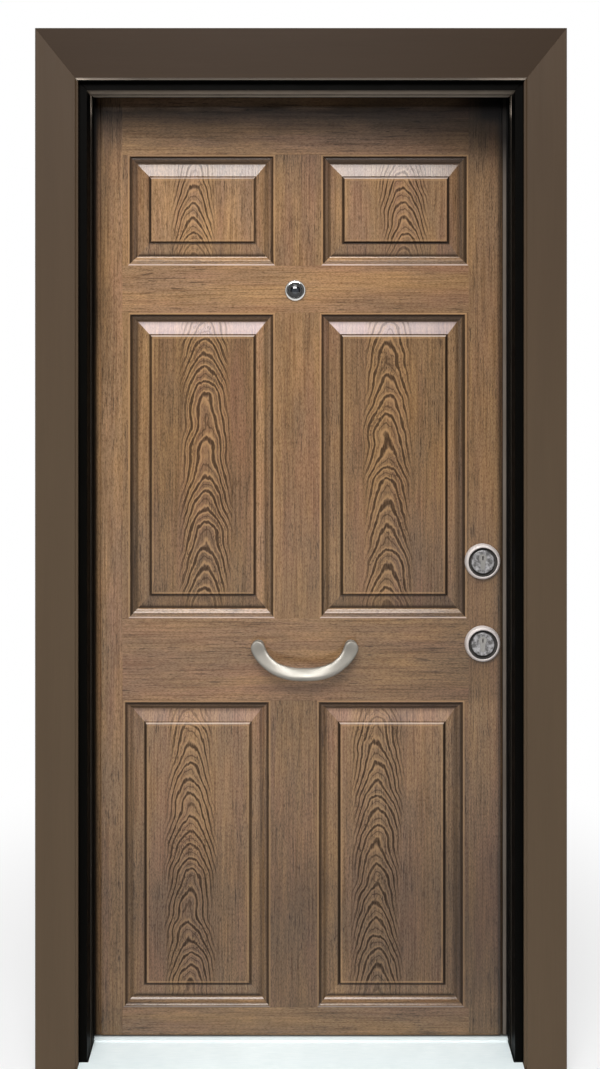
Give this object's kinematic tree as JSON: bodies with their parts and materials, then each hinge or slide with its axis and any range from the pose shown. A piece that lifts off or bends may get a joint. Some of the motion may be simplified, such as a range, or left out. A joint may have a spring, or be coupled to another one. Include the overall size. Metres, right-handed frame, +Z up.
{
  "type": "steel security door",
  "caption": "Inward-opening panelled steel door in its frame with casing, bow pull handle, viewer, two locks, inside lever and hinges.",
  "frame": {"origin": "on the floor, in the middle of the leaf's width, in the plane of the leaf's outside face", "axes": "+X to the lock side (right seen from outside), +Y from outside to inside, +Z up"},
  "size_m": [1.073, 0.2275, 2.1225],
  "materials": {
    "wood_lacquer": "steel with a brown wood-grain lacquer, semi-gloss",
    "wood_casing": "steel with a darker wood-grain lacquer, satin",
    "frame_black": "black powder coat, satin",
    "sill_steel": "plain stainless steel",
    "satin_nickel": "satin nickel",
    "polished_nickel": "polished",
    "lens_glass": "clear",
    "rubber": "matt black",
    "zinc_steel": "zinc plated",
    "hinge_paint": "black powder coat",
    "cylinder_brass": "nickel plated brass, satin",
    "foam": "rigid insulation"
  },
  "bodies": {
    "frame": {"frame_hinge_jamb": "frame_black", "frame_lock_jamb": "frame_black", "frame_head": "frame_black", "threshold": "sill_steel", "casing_left": "wood_casing", "casing_right": "wood_casing", "casing_head": "wood_casing", "frame_gasket": "rubber", "wall_lugs": "zinc_steel", "upper_strike_plate": "zinc_steel", "main_strike_plate": "zinc_steel", "strike_screws": "zinc_steel", "hinge_frame_plate_bottom": "hinge_paint", "hinge_frame_plate_middle": "hinge_paint", "hinge_frame_plate_top": "hinge_paint", "hinge_pins": "zinc_steel"},
    "leaf": {"outer_skin": "wood_lacquer", "inner_skin": "wood_lacquer", "leaf_hinge_edge": "wood_lacquer", "leaf_lock_edge": "wood_lacquer", "leaf_top_channel": "wood_lacquer", "leaf_bottom_channel": "wood_lacquer", "leaf_stiffener_left": "zinc_steel", "leaf_stiffener_right": "zinc_steel", "insulation_left": "foam", "insulation_middle": "foam", "insulation_right": "foam", "bottom_seal": "rubber", "hinge_leaf_plate_bottom": "hinge_paint", "hinge_leaf_plate_middle": "hinge_paint", "hinge_leaf_plate_top": "hinge_paint", "upper_lock_case": "zinc_steel", "main_lock_case": "zinc_steel", "upper_outer_rosette": "satin_nickel", "main_outer_rosette": "satin_nickel", "upper_rosette_disc": "satin_nickel", "main_rosette_disc": "satin_nickel", "upper_inner_rosette": "satin_nickel", "main_inner_rosette": "satin_nickel", "upper_lock_cylinder": "cylinder_brass", "main_lock_cylinder": "cylinder_brass", "latch_spring": "zinc_steel", "lever_rosette": "satin_nickel", "viewer_barrel": "polished_nickel", "viewer_lens": "lens_glass", "viewer_inside_ring": "polished_nickel", "pull_handle": "satin_nickel", "handle_backing_plate": "zinc_steel", "pull_handle_screws": "zinc_steel"},
    "lever": {"inside_lever": "satin_nickel", "lever_spindle": "zinc_steel", "latch_follower": "zinc_steel"},
    "latch": {"latch": "zinc_steel"},
    "upper_bolts": {"upper_lock_bolts": "zinc_steel"},
    "main_bolts": {"main_lock_bolts": "zinc_steel"},
    "upper_plug": {"upper_key_plug": "cylinder_brass"},
    "main_plug": {"main_key_plug": "cylinder_brass"},
    "upper_turn": {"upper_thumbturn": "satin_nickel"},
    "main_turn": {"main_thumbturn": "satin_nickel"}
  },
  "joints": [
    {"name": "leaf_swing", "type": "hinge", "parent": "frame", "child": "leaf", "pos_m": [-0.445, 0.084, 0], "axis": [0, 0, 1], "range_deg": [0, 100]},
    {"name": "lever_turn", "type": "hinge", "parent": "leaf", "child": "lever", "pos_m": [0.382, 0.09, 0.944], "axis": [0, -1, 0], "range_deg": [0, 40], "stiffness_Nm_per_rad": 1.5, "springref_deg": -20.05},
    {"name": "latch_slide", "type": "slide", "parent": "leaf", "child": "latch", "axis": [1, 0, 0], "range_m": [-0.0125, 0], "deforming": ["latch_spring"]},
    {"name": "upper_thumbturn_turn", "type": "hinge", "parent": "leaf", "child": "upper_turn", "pos_m": [0.382, 0.085, 1.032], "axis": [0, 1, 0], "range_deg": [0, 360]},
    {"name": "upper_bolt_slide", "type": "slide", "parent": "leaf", "child": "upper_bolts", "axis": [1, 0, 0], "range_m": [0, 0.02]},
    {"name": "upper_plug_turn", "type": "hinge", "parent": "leaf", "child": "upper_plug", "pos_m": [0.382, 0, 1.032], "axis": [0, 1, 0], "range_deg": [0, 360]},
    {"name": "main_thumbturn_turn", "type": "hinge", "parent": "leaf", "child": "main_turn", "pos_m": [0.382, 0.085, 0.859], "axis": [0, 1, 0], "range_deg": [0, 360]},
    {"name": "main_bolt_slide", "type": "slide", "parent": "leaf", "child": "main_bolts", "axis": [1, 0, 0], "range_m": [0, 0.02]},
    {"name": "main_plug_turn", "type": "hinge", "parent": "leaf", "child": "main_plug", "pos_m": [0.382, 0, 0.859], "axis": [0, 1, 0], "range_deg": [0, 360]}
  ],
  "couplings": [
    {"joint": "latch_slide", "follows": "lever_turn", "m_per_rad": -0.0172},
    {"joint": "upper_thumbturn_turn", "follows": "upper_bolt_slide", "rad_per_m": 314.15},
    {"joint": "upper_plug_turn", "follows": "upper_bolt_slide", "rad_per_m": 314.15},
    {"joint": "main_thumbturn_turn", "follows": "main_bolt_slide", "rad_per_m": 314.15},
    {"joint": "main_plug_turn", "follows": "main_bolt_slide", "rad_per_m": 314.15}
  ]
}
